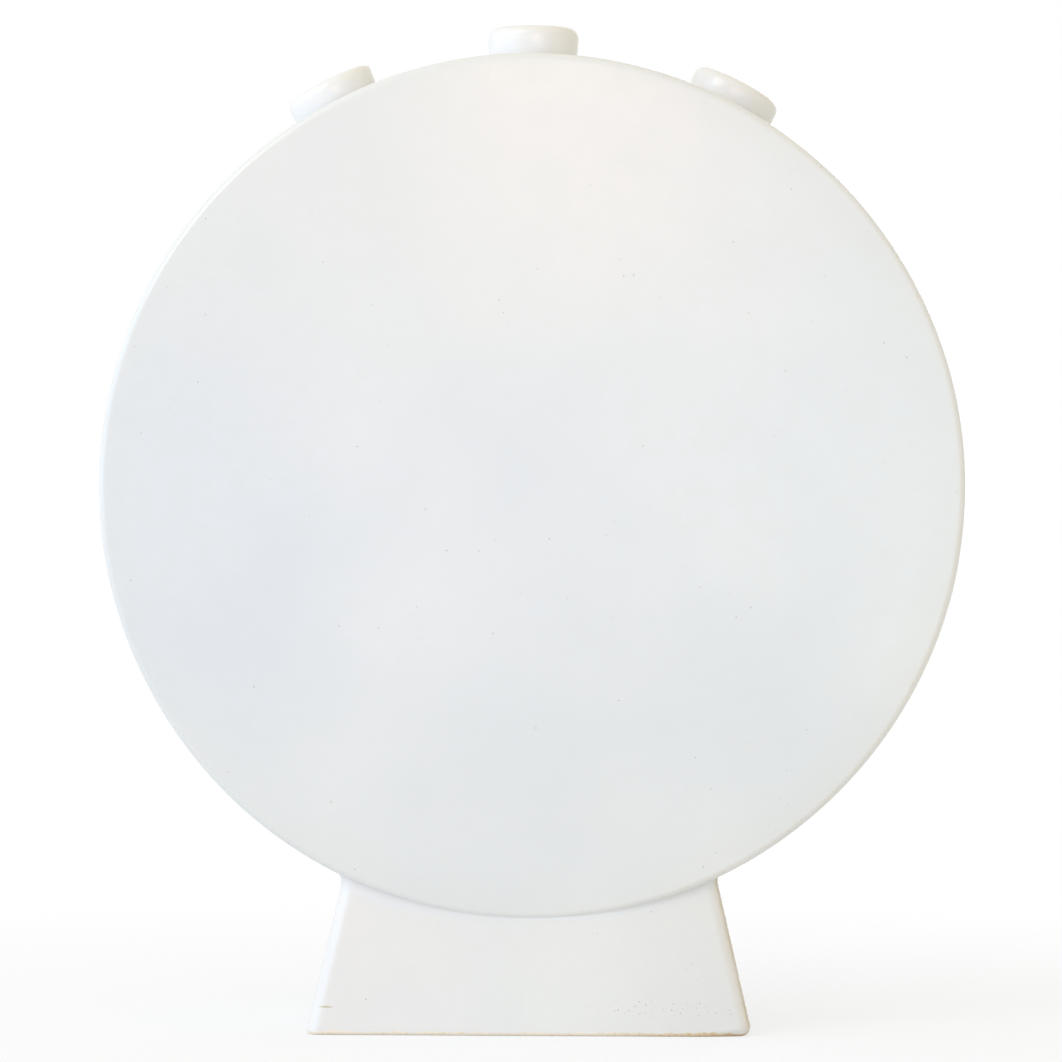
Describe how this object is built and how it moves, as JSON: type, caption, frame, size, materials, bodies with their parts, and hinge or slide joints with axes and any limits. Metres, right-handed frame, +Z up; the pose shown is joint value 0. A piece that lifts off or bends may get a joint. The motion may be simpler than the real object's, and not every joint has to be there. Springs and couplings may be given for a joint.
{
  "type": "tulip vase",
  "caption": "Flat round white-glazed stoneware vase on a flared hollow foot, with short spouts fanned along the top of its rim that each hold a flower stem.",
  "frame": {"origin": "on the table under the middle of the foot", "axes": "+Z up, -Y towards the front face, +X to the right as seen from the front"},
  "size_m": [0.305, 0.0914, 0.3571],
  "materials": {
    "white_glaze": "satin",
    "bare_clay": "matte"
  },
  "bodies": {
    "root": {"front_disc": "white_glaze", "back_disc": "white_glaze", "rim_band": "white_glaze", "front_seam_coil": "bare_clay", "back_seam_coil": "bare_clay", "spout_left": "white_glaze", "spout_centre": "white_glaze", "spout_right": "white_glaze", "foot_front": "white_glaze", "foot_back": "white_glaze", "foot_left": "white_glaze", "foot_right": "white_glaze", "foot_corner_coil_front_left": "bare_clay", "foot_corner_coil_front_right": "bare_clay", "foot_corner_coil_back_left": "bare_clay", "foot_corner_coil_back_right": "bare_clay", "front_saddle_coil": "bare_clay", "back_saddle_coil": "bare_clay"}
  },
  "joints": []
}
